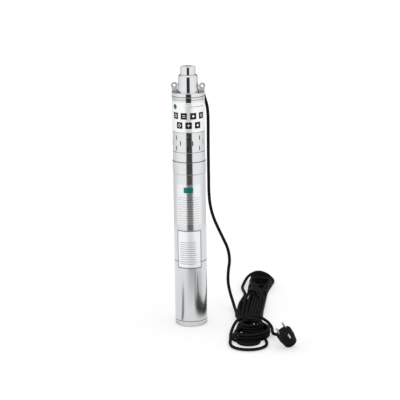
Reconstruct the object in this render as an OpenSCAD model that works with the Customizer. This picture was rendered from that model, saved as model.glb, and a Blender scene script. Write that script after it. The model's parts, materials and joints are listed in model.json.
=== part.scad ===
// Borehole submersible pump with a helical screw element, standing on its base.
// All sizes are in millimetres. The pump's axis is Z and its base is at z = 0.
// The front is towards -Y. Angles about the axis are counted from +X towards +Y.

/* [Casing] */
// Outer diameter of the motor casing and pump casing
casing_d = 75; // [72:1:90]
// Wall of the drawn casing tubes
casing_wall = 1.5; // [1.2:0.1:2]
// Height of the base cap that shows below the motor casing
base_cap_h = 13; // [10:1:20]
// Radius of the base cap's lower edge
base_edge = 3; // [1:0.5:5]
// Length of the motor casing
motor_len = 351; // [345:1:420]
// Distance of the rolled groove below the top of the motor casing
groove_drop = 208; // [204:1:212]
// Depth of the rolled groove
groove_depth = 0.8; // [0.4:0.1:1]
// Height of the joint band at the top of the motor
band_h = 28.5; // [26:0.5:36]
// How far the joint band stands proud of the casing
band_step = 0.9; // [0.4:0.1:2]
// Height of the intake ring
intake_h = 23; // [18:0.5:30]
// Height of the slotted strainer
strainer_h = 46.5; // [44:0.5:60]
// Length of the pump casing
pump_casing_h = 75; // [60:1:120]

/* [Strainer] */
// Width of a strainer slot
slot_w = 2.5; // [1.5:0.1:4]
// Length of a strainer slot
slot_h = 11; // [6:0.5:11.5]
// Distance between the rows of slots
slot_pitch = 12; // [11.8:0.1:12.5]
// Number of slots in a row
slots_per_row = 8; // [4:1:12]

/* [Discharge head] */
// Height of the head's rim
rim_h = 15.5; // [14.5:0.5:24]
// How far the rim stands proud of the casing
rim_step = 0.5; // [0.2:0.1:2]
// Width of the ledge round the shoulder
ledge_w = 13; // [12.5:0.5:13.5]
// How far the shoulder draws in towards its top
shoulder_draw = 2; // [1:0.5:3]
// Height of the shoulder
shoulder_h = 38.5; // [34:0.5:50]
// Diameter of the outlet collar
collar_d = 36; // [31:0.5:40]
// Height of the outlet collar
collar_h = 19; // [16:0.5:30]
// Core diameter of the three-quarter inch outlet thread
outlet_core_d = 24.12; // [18:0.01:26]
// Depth of the outlet thread
outlet_depth = 17; // [12:0.5:18]

/* [Suspension eyes] */
// Width of an eye
eye_w = 15; // [14:0.5:16]
// Thickness of an eye
eye_t = 5; // [3:0.5:7]
// Diameter of the rope hole
eye_hole_d = 6.5; // [5:0.5:7]
// Height of the rope hole above the plate
eye_hole_h = 12.5; // [11:0.5:14]
// Turn of the line of eyes about the axis
eye_turn = -12; // [-20:1:10]

/* [Motor] */
// Diameter of the shaft at its bearings
shaft_d = 15; // [15:1:15]
// Diameter of the shaft in the rotor
shaft_body_d = 18; // [17:0.5:20]
// Diameter of the rotor
rotor_d = 39.2; // [36:0.2:41]
// Air gap between the rotor and the stator core
air_gap = 0.4; // [0.3:0.1:0.8]
// Length of the laminated core
core_len = 110; // [90:1:115]
// Height of each winding head
winding_h = 22; // [18:1:24]
// Number of stator slots
stator_slots = 18; // [12:2:18]
// Diameter of the running capacitor
capacitor_d = 45; // [30:1:50]
// Length of the running capacitor
capacitor_len = 95; // [70:1:120]

/* [Pump element] */
// Diameter of the screw's round section
screw_d = 16; // [15.5:0.5:17]
// Eccentricity of the screw
screw_ecc = 3; // [2.5:0.25:3.25]
// Pitch of the screw
screw_pitch = 42; // [40:1:60]
// Gap between the screw and the rubber stator
screw_gap = 0.5; // [0.5:0.05:0.7]
// Wall of the rubber stator at its thinnest
rubber_wall = 5; // [4.5:0.5:5.5]
// Wall of the stator sleeve
sleeve_wall = 1.5; // [1.2:0.1:1.8]
// Diameter of the drive rod
rod_d = 8; // [7:0.5:8.5]
// Diameter of the drive pins
pin_d = 4; // [3:0.5:4]

/* [Cable] */
// Outer diameter of the cable
cable_d = 6.8; // [6:0.1:7.5]
// Angle of the cable gland about the axis
gland_a = 60; // [50:1:70]
// Diameter of the moulded sleeve inside the gland
gland_sleeve_d = 9.6; // [9:0.1:10]
// Length of the moulded sleeve outside the rim
gland_sleeve_out = 17; // [12:1:20]
// Corner diameter of the gland nut
gland_nut_d = 12.6; // [12.2:0.1:13.4]
// Diameter of the lead inside the pump
lead_d = 4.6; // [4:0.1:5]
// Height of the cable hank
hank_h = 20; // [14:1:24]

/* [Plug] */
// Diameter of the plug's round face
plug_d = 37; // [36:0.5:39]
// Depth of the plug's round front
plug_front = 17; // [16:0.5:18]
// Depth of the plug's back
plug_back = 21; // [18:0.5:22]
// Distance between the plug's pins
prong_spacing = 19; // [18:0.5:20]
// Diameter of a plug pin
prong_d = 4.8; // [4:0.1:5]
// Length of a plug pin
prong_len = 19; // [17:0.5:20]

/* [Hidden] */
$fn = 64;

// Gap between pieces that are fixed to each other
fit = 0.05;
// Radial running gap of a turning ring
running = 0.08;
// Overshoot of a cut past a face
over = 1;

casing_r = casing_d / 2;
bore_r = casing_r - casing_wall;
seat_r = bore_r - fit;

// Heights of the joints, from the base up
z_motor = base_cap_h;
z_band = z_motor + motor_len;
groove_z = z_band - groove_drop;
z_intake = z_band + band_h;
z_strainer = z_intake + intake_h;
z_pump = z_strainer + strainer_h;
z_head = z_pump + pump_casing_h;
z_plate = z_head + rim_h;
z_collar = z_plate + shoulder_h;
z_top = z_collar + collar_h;

// Joint rings and their grooves
ring_d = 1.8;
ring_r = bore_r - fit - ring_d / 2;
ring_groove_r = ring_r - ring_d / 2 - fit;
ring_groove_w = 2.6;
spigot_h = 12;
edge = 0.8;
tube_edge = 0.5;

// Ball bearings of the motor, 15 x 35 x 11
bearing_od = 35;
bearing_w = 11;
ball_d = 6;
ball_count = 8;
ball_pitch_r = (bearing_od + shaft_d) / 4;
ball_gap = 0.1;
race_lip = 1.9;

// Lower bearing seat, held by the rolled groove
bead_r = 1.1;
seat_h = 18;
z_seat_top = groove_z + seat_h / 2;
z_low_bearing = z_seat_top - bearing_w;

// Motor top cover: spigot, bearing, seal chamber and upper spigot
cover_spigot_h = 17;
z_cover = z_band - cover_spigot_h;
z_up_bearing = z_cover;
z_up_bearing_top = z_up_bearing + bearing_w;
cover_neck_r = casing_r - 4.5;
cover_neck_h = 11.5;
z_neck = z_intake + cover_neck_h;
shaft_gap = 1;

// Mechanical seal on the shaft
seal_seat_r = 13;
seal_seat_h = 6;
seal_face_r = 12;
seal_face_h = 5;
seal_spring_h = 9;
seal_wire_d = 1.6;
seal_turns = 4;
seal_collar_h = 4;
seal_room_r = 19;
z_seal = z_band + seal_seat_h;
z_spring = z_seal + fit + seal_face_h;
z_collar_ring = z_spring + seal_spring_h;
z_socket = z_collar_ring + seal_collar_h;

// Drive from the shaft to the screw
socket_r = 13;
socket_h = 24;
shaft_end_d = 12;
shaft_end_h = 6;
socket_web = 2;
socket_bore_r = rod_d / 2 + 1.2;
z_low_pin = z_socket + shaft_end_h + socket_web + 7;
pin_hole_r = pin_d / 2 + 0.6;
neck_r = screw_d / 2;
neck_below = 18;
neck_bore_r = rod_d / 2 + 1.2;
z_high_pin = z_pump - 10;
pin_ring_wall = 1.5;
pin_ring_h = 8;
rod_end = 5;
rod_rise = z_high_pin - z_low_pin;
rod_tilt = atan(screw_ecc / rod_rise);
rod_span = norm([screw_ecc, rod_rise]);

// Screw and stator element
sleeve_rise = 8;
z_sleeve_top = z_head + sleeve_rise;
element_len = z_sleeve_top - z_pump;
cavity_r = screw_d / 2 + screw_gap;
rubber_r = cavity_r + 2 * screw_ecc + rubber_wall;
sleeve_r = rubber_r + fit + sleeve_wall;
screw_over = 1;
screw_sides = 20;
screw_steps = ceil(12 * element_len / screw_pitch);
flange_half = 4;
flange_hole_r = 2 * screw_ecc + cavity_r + 1.5;

// Core and winding
core_r = rotor_d / 2 + air_gap;
core_air = 3;
z_core = z_seat_top + core_air + winding_h;
z_core_top = z_core + core_len;
slot_in = core_r + 1.6;
slot_out = slot_in + 9.5;
slot_width = 4.4;
slot_mouth = 1.8;
winding_gap = 0.2;
winding_out = slot_out + 1;
z_winding_top = z_core_top + winding_h;
cage_bars = 16;
cage_bar_d = 3.4;
cage_ring_h = 7;
cage_r = rotor_d / 2 - 0.6 - cage_bar_d / 2;

// Lead inside the pump and the gland it leaves by
lead_in = 10.2;
lead_r = casing_r - lead_in;
lead_gap = 0.25;
lead_bend = 7;
lead_bush_r = lead_d / 2 + 2.6;
lead_bush_h = 6;
gland_z = z_head + gland_nut_d / 2 + 0.3;
gland_bore_r = gland_sleeve_d / 2 + 0.2;
rim_r = casing_r + rim_step;
spot_r = rim_r - 1;
gland_nut_h = 6;
gland_nut_gap = 0.1;
sleeve_in_r = lead_r + lead_bend;
sleeve_end_r = rim_r + gland_sleeve_out;
sleeve_tip_d = cable_d + 1.2;

// Head
shoulder_d = casing_d - 2 * ledge_w;
shoulder_top_d = shoulder_d - 2 * shoulder_draw;
skirt_wall = 4;
socket_wall = 2.5;
chamber_r = rubber_r - 1.5;
z_thread = z_top - outlet_depth;
z_chamber = z_collar - 6;
rim_groove_w = 1.2;
rim_groove_z = z_head + 6;
rim_edge = 1.2;
shoulder_edge = 3;
eye_gap = 1;
eye_r = (shoulder_d + eye_gap + eye_w) / 2;
eye_neck_in = shoulder_d / 2 + eye_gap - eye_r;
eye_neck_out = rim_r - eye_gap / 2 - eye_r;
eye_neck_t = eye_t - 1;
eye_neck_h = eye_hole_h - eye_hole_d / 2 - 0.5;
eye_edge = 0.8;

// Capacitor seat in the base cap
base_floor = 6;
base_rib = 2;
base_rib_h = 6;
base_wall = 4;
base_groove_r = 1.1;
base_groove_depth = 0.8;

// Route of the cable from the gland to the hank, after its first two points
gland_dir = [cos(gland_a), sin(gland_a), 0];
cable_start = concat([0, 0, gland_z]) + sleeve_end_r * gland_dir;
cable_route = [
    cable_start,
    cable_start + 5 * gland_dir,
    [37, 64, 540], [42, 73, 530], [44, 76, 516], [45, 77, 490], [46, 79, 460],
    [46, 82, 425], [46, 86, 390], [46.5, 91, 355], [47, 97, 320], [48, 104, 288],
    [51, 111, 258], [57, 118, 228], [68, 125, 198], [81, 131, 168], [92, 135, 140],
    [96, 136, 112], [93, 134, 86], [92, 129, 60], [96, 119, 37], [103, 102, 18],
    [107, 82, 8], [108, 60, 4], [110, 40, 4]
];
cable_sides = 10;

// Outline of the cable hank on the floor: waist, far end and near end
hank_waist = [[100, 0], [170, 0]];
hank_far = [172, 325];
hank_far_r = 42;
hank_near = [128, -180];
hank_near_r = 52;

// Plug, lying on its back with the cable leaving sideways
plug_pos = [205, -200, 39.2];
plug_turn = [0, -34, 30];
plug_back_d = 30;
plug_edge = 2;
plug_neck_d = 15;
plug_neck_tip_d = 9;
plug_neck_len = 42;
plug_neck_drop = plug_front + plug_back / 2;
clip_w = 4;
clip_t = 1;
clip_len = 14;
clip_gap = 0.1;
prong_shank_d = prong_d - 1.2;
prong_rise = 0.2;

// Place of a point of the plug, given beside, along the cable and along the pins
function plug_point(p) =
    let(a = plug_turn[1], b = plug_turn[2],
        q = [p[0] * cos(a) + p[2] * sin(a), p[1], p[2] * cos(a) - p[0] * sin(a)])
    plug_pos + [q[0] * cos(b) - q[1] * sin(b), q[0] * sin(b) + q[1] * cos(b), q[2]];
plug_exit = plug_point([0, plug_neck_len, -plug_neck_drop]);
plug_exit_dir = [-sin(plug_turn[2]), cos(plug_turn[2]), 0];
plug_route = [
    plug_exit, plug_exit + 6 * plug_exit_dir,
    [189, -138, 13], [186, -115, 8], [185, -90, 5], [183, -60, 4], [179, -35, 4], [172, -16, 4], [164, -6, 4]
];

// Points on a smooth curve through a route, with some steps between its points
function spline_at(a, b, c, d, t) =
    (2 * b + (c - a) * t + (2 * a - 5 * b + 4 * c - d) * t ^ 2 + (3 * b - a - 3 * c + d) * t ^ 3) / 2;
function smooth_route(p, steps) =
    let(last = len(p) - 1)
    [for (i = [0 : last - 1], k = [0 : steps - 1])
        spline_at(p[max(i - 1, 0)], p[i], p[i + 1], p[min(i + 2, last)], k / steps), p[last]];
function unit(v) = v / norm(v);

// Half length of a pin whose square ends stay inside a round bar
function pin_half(r) = sqrt(r * r - pin_d * pin_d / 4) - fit;

function heading(p, i) = unit(p[min(i + 1, len(p) - 1)] - p[max(i - 1, 0)]);

// Round tube swept along a route. No stretch of the route may run along side.
module sweep_tube(p, r, sides, side) {
    rings = len(p);
    points = [for (i = [0 : rings - 1])
        let(t = heading(p, i), u = unit(cross(t, side)), v = cross(t, u))
        for (k = [0 : sides - 1]) p[i] + r * (cos(360 * k / sides) * u + sin(360 * k / sides) * v)];
    walls = [for (i = [0 : rings - 2], k = [0 : sides - 1])
        let(a = i * sides + k, b = i * sides + (k + 1) % sides)
        each [[a, a + sides, b], [b, a + sides, b + sides]]];
    first = [for (k = [0 : sides - 1]) k];
    last = [for (k = [0 : sides - 1]) rings * sides - 1 - k];
    polyhedron(points = points, faces = concat([first, last], walls));
}

// Flat sections in the half plane of radius and height
module band_2d(r0, r1, z0, z1) {
    translate([r0, z0]) square([r1 - r0, z1 - z0]);
}
module soft_band_2d(r0, r1, z0, z1, f) {
    band_2d(r0 + f, r1 - f, z0, z1);
    band_2d(r0, r1, z0 + f, z1 - f);
    for (r = [r0 + f, r1 - f], z = [z0 + f, z1 - f]) translate([r, z]) circle(r = f);
}
module tube_2d(r0, r1, z0, z1, f) {
    band_2d(r0, r1 - f, z0, z1);
    band_2d(r0, r1, z0 + f, z1 - f);
    for (z = [z0 + f, z1 - f]) translate([r1 - f, z]) circle(r = f);
}
module disc_2d(r, z0, z1, low_f, high_f) {
    band_2d(0, r - max(low_f, high_f), z0, z1);
    band_2d(0, r, z0 + low_f, z1 - high_f);
    if (low_f > 0) translate([r - low_f, z0 + low_f]) circle(r = low_f);
    if (high_f > 0) translate([r - high_f, z1 - high_f]) circle(r = high_f);
    if (low_f > high_f) band_2d(0, r - high_f, (z0 + z1) / 2, z1);
    if (high_f > low_f) band_2d(0, r - low_f, z0, (z0 + z1) / 2);
}
module o_ring_at(z) {
    rotate_extrude() translate([ring_r, z]) circle(d = ring_d);
}
module ring_groove_2d(z) {
    band_2d(ring_groove_r, casing_r, z - ring_groove_w / 2, z + ring_groove_w / 2);
}
module about_lead(r, z0, z1) {
    rotate([0, 0, gland_a]) translate([lead_r, 0, z0]) cylinder(r = r, h = z1 - z0);
}
module along_gland(r0) {
    rotate([0, 0, gland_a]) translate([r0, 0, gland_z]) rotate([0, 90, 0]) children();
}
module in_plug() {
    translate(plug_pos) rotate(plug_turn) children();
}

// Discharge head with its rim, shoulder and threaded outlet collar
module discharge_head() {
    color([0.80, 0.81, 0.82]) difference() {
        rotate_extrude() difference() {
            union() {
                band_2d(0, seat_r, z_head - spigot_h, z_head + over);
                disc_2d(rim_r, z_head, z_plate, 0, rim_edge);
                polygon([[0, z_plate - over], [shoulder_d / 2, z_plate - over],
                    [shoulder_top_d / 2, z_collar - shoulder_edge],
                    [shoulder_top_d / 2 - shoulder_edge, z_collar], [0, z_collar]]);
                polygon([[0, z_collar - over], [collar_d / 2, z_collar - over],
                    [collar_d / 2, z_top - edge], [collar_d / 2 - edge, z_top], [0, z_top]]);
            }
            band_2d(-over, sleeve_r + fit, z_head - spigot_h - over, z_sleeve_top);
            polygon([[-over, z_sleeve_top - over], [chamber_r, z_sleeve_top - over],
                [chamber_r, z_chamber], [outlet_core_d / 2, z_thread], [-over, z_thread]]);
            band_2d(-over, outlet_core_d / 2, z_thread - over, z_top + over);
            band_2d(sleeve_r + fit + socket_wall, seat_r - skirt_wall, z_head - spigot_h - over, z_head);
            ring_groove_2d(z_head - spigot_h / 2);
            translate([rim_r + 0.2, rim_groove_z]) circle(d = 2 * rim_groove_w);
        }
        about_lead(lead_d / 2 + 1.2, z_head - over, gland_z);
        along_gland(lead_r) cylinder(r = gland_bore_r, h = rim_r);
        along_gland(spot_r) cylinder(d = gland_nut_d + 2 * gland_nut_gap, h = rim_r);
    }
}

// Two welded eyes for the suspension rope
module suspension_eyes() {
    color([0.74, 0.75, 0.76]) for (side = [0, 180])
        rotate([0, 0, eye_turn + side]) translate([eye_r, 0, z_plate]) {
            translate([0, 0, eye_hole_h]) rotate([90, 0, 0]) rotate_extrude()
                soft_band_2d(eye_hole_d / 2, eye_w / 2, -eye_t / 2, eye_t / 2, eye_edge);
            rotate([90, 0, 0]) linear_extrude(eye_neck_t, center = true)
                polygon([[eye_neck_in, 0], [eye_neck_out, 0], [0.4 * eye_w, eye_neck_h], [-0.4 * eye_w, eye_neck_h]]);
        }
}

module head_o_ring() {
    color([0.06, 0.06, 0.06]) o_ring_at(z_head - spigot_h / 2);
}

// Pump casing round the stator element
module pump_casing() {
    color([0.86, 0.87, 0.88]) rotate_extrude() tube_2d(bore_r, casing_r, z_pump, z_head, tube_edge);
}

// Steel sleeve of the stator, with the flange that joins strainer and casing
module stator_sleeve() {
    color([0.62, 0.64, 0.66]) difference() {
        rotate_extrude() difference() {
            union() {
                band_2d(0, sleeve_r, z_pump, z_sleeve_top);
                band_2d(0, seat_r, z_pump - flange_half, z_pump + flange_half);
            }
            band_2d(-over, rubber_r + fit, z_pump, z_sleeve_top + over);
            band_2d(-over, flange_hole_r, z_pump - flange_half - over, z_pump + over);
        }
        about_lead(lead_d / 2 + lead_gap, z_pump - flange_half - over, z_pump + flange_half + over);
    }
}

// Two-lobed outline of the stator's cavity
module cavity_2d() {
    for (side = [-1, 1]) translate([side * 2 * screw_ecc, 0]) circle(r = cavity_r, $fn = screw_sides);
    square([4 * screw_ecc, 2 * cavity_r], center = true);
}

// Rubber stator with its twisted two-lobed cavity
module stator_rubber() {
    color([0.09, 0.09, 0.09]) difference() {
        translate([0, 0, z_pump]) cylinder(r = rubber_r, h = element_len);
        translate([0, 0, z_pump - over])
            rotate([0, 0, -180 * over / screw_pitch])
                linear_extrude(element_len + 2 * over, twist = -180 * (element_len + 2 * over) / screw_pitch,
                    slices = screw_steps) cavity_2d();
    }
}

// Slotted inlet strainer: three rows, the middle one set half a step round
module strainer() {
    rows = 3;
    step = 360 / slots_per_row;
    first_angle = -94;
    z_rows = z_strainer + strainer_h / 2 - 1.5;
    color([0.80, 0.81, 0.82]) difference() {
        rotate_extrude() tube_2d(bore_r, casing_r - 0.2, z_strainer, z_pump, tube_edge);
        for (row = [0 : rows - 1], i = [0 : slots_per_row - 1])
            rotate([0, 0, first_angle + (i + (row % 2) * 0.4) * step])
                translate([bore_r - over, 0, z_rows + (row - 1) * slot_pitch]) slot_cut();
    }
}
module slot_cut() {
    straight = slot_h - slot_w;
    depth = casing_wall + 2 * over;
    translate([0, -slot_w / 2, -straight / 2]) cube([depth, slot_w, straight]);
    for (side = [-1, 1]) translate([0, 0, side * straight / 2]) rotate([0, 90, 0])
        cylinder(d = slot_w, h = depth);
}

// Intake ring between the strainer and the motor's top cover
module intake_ring() {
    rest_h = 2.5;
    wall = 3;
    color([0.84, 0.85, 0.86]) rotate_extrude() difference() {
        union() {
            disc_2d(casing_r, z_intake, z_strainer, edge, edge);
            band_2d(0, seat_r, z_strainer - over, z_strainer + rest_h);
        }
        band_2d(-over, cover_neck_r + fit, z_intake - over, z_neck + fit);
        band_2d(-over, seat_r - wall, z_neck, z_strainer + rest_h + over);
    }
}

// Motor top cover: joint band, bearing pocket, seal chamber and lead passage
module motor_top_cover() {
    color([0.84, 0.85, 0.86]) difference() {
        rotate_extrude() difference() {
            union() {
                band_2d(0, seat_r, z_cover, z_band + over);
                disc_2d(casing_r + band_step, z_band, z_intake, edge, edge);
                band_2d(0, cover_neck_r, z_intake - over, z_neck);
            }
            band_2d(-over, bearing_od / 2 + fit, z_cover - over, z_up_bearing_top);
            band_2d(-over, shaft_d / 2 + shaft_gap, z_cover, z_neck + over);
            band_2d(-over, seal_seat_r + fit, z_band, z_neck + over);
            band_2d(-over, seal_room_r, z_seal, z_neck + over);
            ring_groove_2d(z_cover + spigot_h / 2 + 2);
        }
        about_lead(lead_d / 2 + lead_gap, z_cover - over, z_neck + over);
        about_lead(lead_bush_r + fit, z_neck - lead_bush_h, z_neck + over);
    }
}

module cover_o_ring() {
    color([0.06, 0.06, 0.06]) o_ring_at(z_cover + spigot_h / 2 + 2);
}

// Motor casing with the groove rolled into it
module motor_casing() {
    color([0.86, 0.87, 0.88]) rotate_extrude() difference() {
        union() {
            tube_2d(bore_r, casing_r, z_motor, z_band, tube_edge);
            translate([bore_r + bead_r - groove_depth, groove_z]) circle(r = bead_r);
        }
        translate([casing_r + bead_r - groove_depth, groove_z]) circle(r = bead_r);
    }
}

// Base cap with the cup that the capacitor stands in
module base_cap() {
    rib_r = capacitor_d / 2 + fit;
    color([0.78, 0.79, 0.80]) rotate_extrude() difference() {
        union() {
            disc_2d(casing_r, 0, z_motor, base_edge, edge);
            band_2d(0, seat_r, z_motor - over, z_motor + spigot_h);
        }
        band_2d(rib_r + base_rib, seat_r - base_wall, base_floor, z_motor + spigot_h + over);
        band_2d(-over, rib_r + base_rib + over, base_floor + base_rib_h, z_motor + spigot_h + over);
        band_2d(-over, rib_r, base_floor, z_motor + spigot_h + over);
        ring_groove_2d(z_motor + spigot_h / 2);
        translate([casing_r + base_groove_r - base_groove_depth, base_cap_h / 2]) circle(r = base_groove_r);
    }
}

module base_o_ring() {
    color([0.06, 0.06, 0.06]) o_ring_at(z_motor + spigot_h / 2);
}

// Laminated stator core with its slots
module stator_core() {
    color([0.35, 0.36, 0.38]) translate([0, 0, z_core]) linear_extrude(core_len) difference() {
        circle(r = seat_r);
        circle(r = core_r);
        for (i = [0 : stator_slots - 1]) rotate(360 * i / stator_slots) {
            translate([slot_in, -slot_width / 2]) square([slot_out - slot_in, slot_width]);
            translate([core_r - over, -slot_mouth / 2]) square([slot_in - core_r + 2 * over, slot_mouth]);
        }
    }
}

// Copper winding: bars in the slots and a rounded head at each end
module stator_winding() {
    bar_w = slot_width - 2 * winding_gap;
    bar_in = slot_in + winding_gap;
    bar_out = slot_out - winding_gap;
    color([0.72, 0.42, 0.20]) {
        translate([0, 0, z_core - over]) linear_extrude(core_len + 2 * over)
            for (i = [0 : stator_slots - 1]) rotate(360 * i / stator_slots)
                translate([bar_in, -bar_w / 2]) square([bar_out - bar_in, bar_w]);
        for (z = [z_core - winding_h, z_core_top + winding_gap])
            rotate_extrude() soft_band_2d(bar_in, winding_out, z, z + winding_h - winding_gap, 3);
    }
}

// Thermal protector lying on the upper winding head
module thermal_protector() {
    size = [18, 8, 6];
    corner = 2;
    color([0.85, 0.83, 0.76]) rotate([0, 0, gland_a + 180])
        translate([(slot_in + winding_out) / 2, 0, z_winding_top]) linear_extrude(size[2]) {
            for (x = [-1, 1], y = [-1, 1])
                translate([x * (size[1] / 2 - corner), y * (size[0] / 2 - corner)]) circle(r = corner);
            square([size[1] - 2 * corner, size[0]], center = true);
            square([size[1], size[0] - 2 * corner], center = true);
        }
}

// Running capacitor in the chamber under the lower bearing
module capacitor() {
    lid_h = 4;
    tag = [3, 6, 8];
    color([0.75, 0.76, 0.78]) {
        rotate_extrude() {
            disc_2d(capacitor_d / 2, base_floor, base_floor + capacitor_len - lid_h, edge, edge);
            band_2d(0, capacitor_d / 2 - 2, base_floor, base_floor + capacitor_len);
        }
        for (side = [-1, 1])
            translate([side * capacitor_d / 4 - tag[0] / 2, -tag[1] / 2, base_floor + capacitor_len - over])
                cube(tag);
    }
}

// Lower bearing seat with its wire holes
module lower_bearing_seat() {
    wire_holes = 4;
    wire_hole_d = 8;
    wire_hole_r = (bearing_od / 2 + seat_r) / 2;
    color([0.60, 0.61, 0.62]) difference() {
        rotate_extrude() difference() {
            band_2d(0, seat_r, groove_z - seat_h / 2, z_seat_top);
            band_2d(-over, bearing_od / 2 + fit, z_low_bearing, z_seat_top + over);
            band_2d(-over, shaft_d / 2 + shaft_gap, groove_z - seat_h, z_seat_top + over);
            translate([bore_r + bead_r - groove_depth, groove_z]) circle(r = bead_r + 2 * fit);
        }
        for (i = [0 : wire_holes - 1]) rotate([0, 0, 360 * i / wire_holes])
            translate([wire_hole_r, 0, groove_z - seat_h]) cylinder(d = wire_hole_d, h = 2 * seat_h);
    }
}

// Ball bearing rings and balls
module outer_ring_at(z) {
    color([0.66, 0.67, 0.69]) rotate_extrude() difference() {
        band_2d(ball_pitch_r + race_lip, bearing_od / 2, z, z + bearing_w);
        translate([ball_pitch_r, z + bearing_w / 2]) circle(d = ball_d + 2 * ball_gap);
    }
}
module inner_ring_at(z) {
    color([0.66, 0.67, 0.69]) rotate_extrude() difference() {
        band_2d(shaft_d / 2 + fit, ball_pitch_r - race_lip, z, z + bearing_w);
        translate([ball_pitch_r, z + bearing_w / 2]) circle(d = ball_d + 2 * ball_gap);
    }
}
module balls_at(z) {
    color([0.72, 0.73, 0.75]) for (i = [0 : ball_count - 1]) rotate([0, 0, 360 * i / ball_count])
        translate([ball_pitch_r, 0, z + bearing_w / 2]) sphere(d = ball_d);
}
module upper_bearing_outer_ring() outer_ring_at(z_up_bearing);
module lower_bearing_outer_ring() outer_ring_at(z_low_bearing);
module upper_bearing_inner_ring() inner_ring_at(z_up_bearing);
module lower_bearing_inner_ring() inner_ring_at(z_low_bearing);
module upper_bearing_balls() balls_at(z_up_bearing);
module lower_bearing_balls() balls_at(z_low_bearing);

// Mechanical seal: fixed seat, turning face, spring and collar
module seal_seat() {
    color([0.90, 0.89, 0.86]) rotate_extrude()
        band_2d(shaft_d / 2 + shaft_gap, seal_seat_r, z_band, z_seal);
}
module seal_face() {
    color([0.15, 0.15, 0.16]) rotate_extrude()
        band_2d(shaft_d / 2 + fit, seal_face_r, z_seal + fit, z_spring);
}
module seal_spring() {
    coil_r = seal_face_r - seal_wire_d;
    z_low = z_spring + seal_wire_d / 2 + fit;
    rise = seal_spring_h - seal_wire_d - 2 * fit;
    steps = 12 * seal_turns;
    route = [for (i = [0 : steps])
        let(a = 360 * seal_turns * i / steps) [coil_r * cos(a), coil_r * sin(a), z_low + rise * i / steps]];
    color([0.70, 0.71, 0.73]) sweep_tube(route, seal_wire_d / 2, 6, [0, 0, 1]);
}
module seal_collar() {
    color([0.68, 0.69, 0.70]) rotate_extrude()
        band_2d(shaft_d / 2 + fit, seal_face_r, z_collar_ring, z_socket);
}

// Rubber bush that seals the lead in the motor's top cover
module lead_bush() {
    color([0.06, 0.06, 0.06]) difference() {
        about_lead(lead_bush_r, z_neck - lead_bush_h, z_neck);
        about_lead(lead_d / 2 + fit, z_neck - lead_bush_h - over, z_neck + over);
    }
}

// Lead from the winding up the pump casing to the gland
module inner_lead() {
    bend_steps = 5;
    up = [for (z = [z_winding_top + fit, z_band, z_strainer, z_pump, gland_z - lead_bend]) [lead_r, z]];
    bend = [for (i = [1 : bend_steps]) let(a = 90 * i / bend_steps)
        [lead_r + lead_bend * (1 - cos(a)), gland_z - lead_bend * (1 - sin(a))]];
    last = [[sleeve_in_r - fit, gland_z]];
    route = [for (p = concat(up, [for (i = [0 : bend_steps - 2]) bend[i]], last))
        [p[0] * gland_dir[0], p[0] * gland_dir[1], p[1]]];
    color([0.10, 0.10, 0.11]) sweep_tube(route, lead_d / 2, 8, [-gland_dir[1], gland_dir[0], 0]);
}

// Nut that holds the cable sleeve in the head
module gland_nut() {
    color([0.72, 0.73, 0.74]) along_gland(spot_r) difference() {
        cylinder(d = gland_nut_d, h = gland_nut_h, $fn = 6);
        translate([0, 0, -over]) cylinder(r = gland_bore_r, h = gland_nut_h + 2 * over);
    }
}

// Moulded sleeve on the cable, tapered outside the nut
module cable_sleeve() {
    taper_r0 = spot_r + gland_nut_h;
    color([0.05, 0.05, 0.05]) along_gland(0) rotate_extrude() {
        band_2d(0, gland_sleeve_d / 2, sleeve_in_r, taper_r0);
        polygon([[0, taper_r0 - over], [gland_sleeve_d / 2, taper_r0 - over], [gland_sleeve_d / 2, taper_r0],
            [sleeve_tip_d / 2, sleeve_end_r], [0, sleeve_end_r]]);
    }
}

// Cable from the gland down to the hank
module cable() {
    color([0.05, 0.05, 0.05])
        sweep_tube(smooth_route(cable_route, 2), cable_d / 2, cable_sides, [1, 0, 0]);
}

// Outer form of the cable hank, tied at its waist
module cable_hank() {
    color([0.05, 0.05, 0.05]) {
        translate(hank_far) cylinder(r = hank_far_r, h = hank_h);
        translate(hank_near) cylinder(r = hank_near_r, h = hank_h);
        linear_extrude(hank_h) polygon([hank_waist[0], hank_far - [hank_far_r, 0],
            hank_far + [hank_far_r, 0], hank_waist[1], hank_near + [hank_near_r, 0],
            hank_near - [hank_near_r, 0]]);
    }
}

// Cable from the hank to the plug
module plug_lead() {
    color([0.05, 0.05, 0.05])
        sweep_tube(smooth_route(plug_route, 2), cable_d / 2, cable_sides, [0, 0, 1]);
}

// Angled plug: round front, narrower back and tapered neck
module plug_body() {
    clip_y = plug_d / 2 - clip_t - clip_gap;
    color([0.05, 0.05, 0.05]) in_plug() difference() {
        union() {
            translate([0, 0, -plug_front]) rotate_extrude() disc_2d(plug_d / 2, 0, plug_front, 0, plug_edge);
            rotate_extrude() polygon([[0, -plug_front - plug_back], [plug_back_d / 2 - plug_edge, -plug_front - plug_back],
                [plug_back_d / 2, -plug_front - plug_back + plug_edge], [plug_d / 2, -plug_front], [0, -plug_front + over]]);
            translate([0, 0, -plug_neck_drop]) rotate([-90, 0, 0])
                cylinder(d1 = plug_neck_d, d2 = plug_neck_tip_d, h = plug_neck_len);
        }
        for (side = [-1, 1]) translate([-clip_w / 2 - clip_gap, side < 0 ? -plug_d : clip_y, -clip_len - clip_gap])
            cube([clip_w + 2 * clip_gap, plug_d - clip_y, clip_len + clip_gap + over]);
        for (side = [-1, 1]) translate([side * prong_spacing / 2, 0, -plug_front / 2])
            cylinder(d = prong_shank_d + 2 * fit, h = plug_front);
    }
}

module plug_pins() {
    color([0.76, 0.76, 0.74]) in_plug() for (side = [-1, 1])
        translate([side * prong_spacing / 2, 0, 0]) rotate_extrude() {
            disc_2d(prong_d / 2, prong_rise, prong_len, 0, prong_d / 4);
            band_2d(0, prong_shank_d / 2, fit - plug_front / 2, prong_rise + over);
        }
}

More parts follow.
